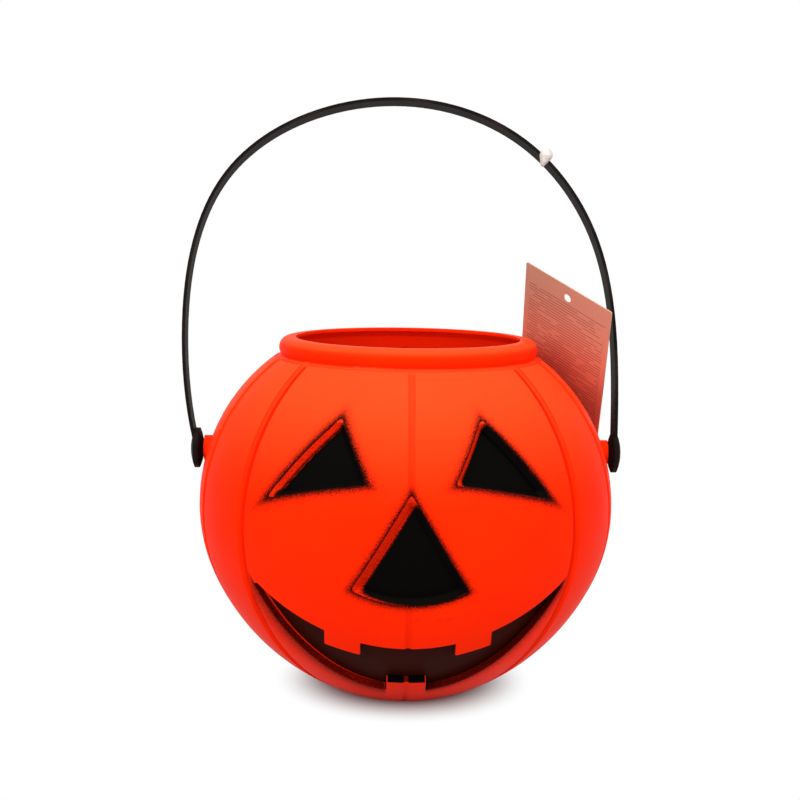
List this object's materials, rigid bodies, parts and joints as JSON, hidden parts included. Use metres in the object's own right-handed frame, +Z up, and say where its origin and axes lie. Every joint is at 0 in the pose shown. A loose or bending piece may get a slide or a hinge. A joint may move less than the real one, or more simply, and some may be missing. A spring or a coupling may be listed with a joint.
{
  "type": "candy pail",
  "caption": "Round blow-moulded pumpkin pail with a recessed toothed grin, an open rim and a flat strap handle that swings on snap pegs; a blank card tag leans on its shoulder.",
  "frame": {"origin": "middle of the foot ring, on the surface that the pail stands on", "axes": "+Z up along the pail's axis, +X along the handle's hinge line to the right of the face, -Y out of the face"},
  "size_m": [0.1927, 0.1793, 0.257],
  "materials": {
    "pail_plastic": "satin orange plastic, black sprayed face",
    "strap_plastic": "satin black plastic",
    "lock_plastic": "glossy pearl white plastic",
    "tag_card": "matt uncoated card"
  },
  "bodies": {
    "pail": {"pail_body": "pail_plastic", "hang_tag": "tag_card"},
    "handle": {"handle_strap": "strap_plastic", "loop_lock": "lock_plastic"}
  },
  "joints": [
    {"name": "handle_swing", "type": "hinge", "parent": "pail", "child": "handle", "pos_m": [0, 0, 0.1035], "axis": [1, 0, 0], "range_deg": [-116, 134]}
  ]
}
